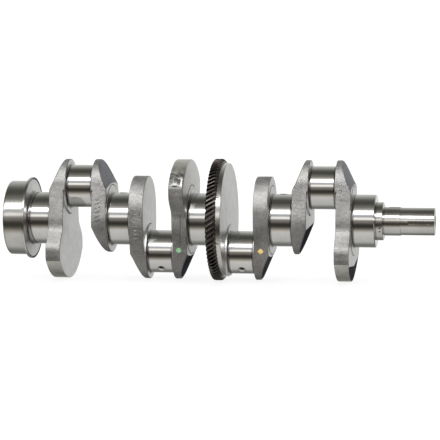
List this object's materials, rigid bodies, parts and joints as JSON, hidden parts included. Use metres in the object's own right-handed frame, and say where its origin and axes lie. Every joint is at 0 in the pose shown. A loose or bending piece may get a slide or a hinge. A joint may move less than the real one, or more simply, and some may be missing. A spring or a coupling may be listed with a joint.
{
  "type": "crankshaft",
  "caption": "Forged engine crankshaft with offset throws, bevelled webs, forged counterweights, a flywheel flange, a keyed nose and a helical balancer ring gear.",
  "frame": {"origin": "centre of the flange's rear face, on the shaft's axis", "axes": "+X along the shaft from the flange to the nose; +Z from the shaft's axis towards the first and last crankpins; +Y completes the right-handed frame"},
  "size_m": [0.6996, 0.198, 0.198],
  "materials": {
    "ground_journal_steel": "ground and polished",
    "turned_steel": "fine turned",
    "forged_steel": "shot-blasted forging",
    "black_gear_steel": "hardened, black oxide"
  },
  "bodies": {
    "root": {"rear_flange": "turned_steel", "oil_thrower": "turned_steel", "main_journal_1": "ground_journal_steel", "main_journal_2": "ground_journal_steel", "main_journal_3": "ground_journal_steel", "main_journal_4": "ground_journal_steel", "main_journal_5": "ground_journal_steel", "crankpin_1": "ground_journal_steel", "crankpin_2": "ground_journal_steel", "crankpin_3": "ground_journal_steel", "crankpin_4": "ground_journal_steel", "web_1": "forged_steel", "web_2": "forged_steel", "web_3": "forged_steel", "web_4": "forged_steel", "web_5": "forged_steel", "web_6": "forged_steel", "web_7": "forged_steel", "web_8": "forged_steel", "balancer_ring_gear": "black_gear_steel", "front_collar": "turned_steel", "timing_gear_seat": "turned_steel", "pulley_seat": "turned_steel"}
  },
  "joints": []
}
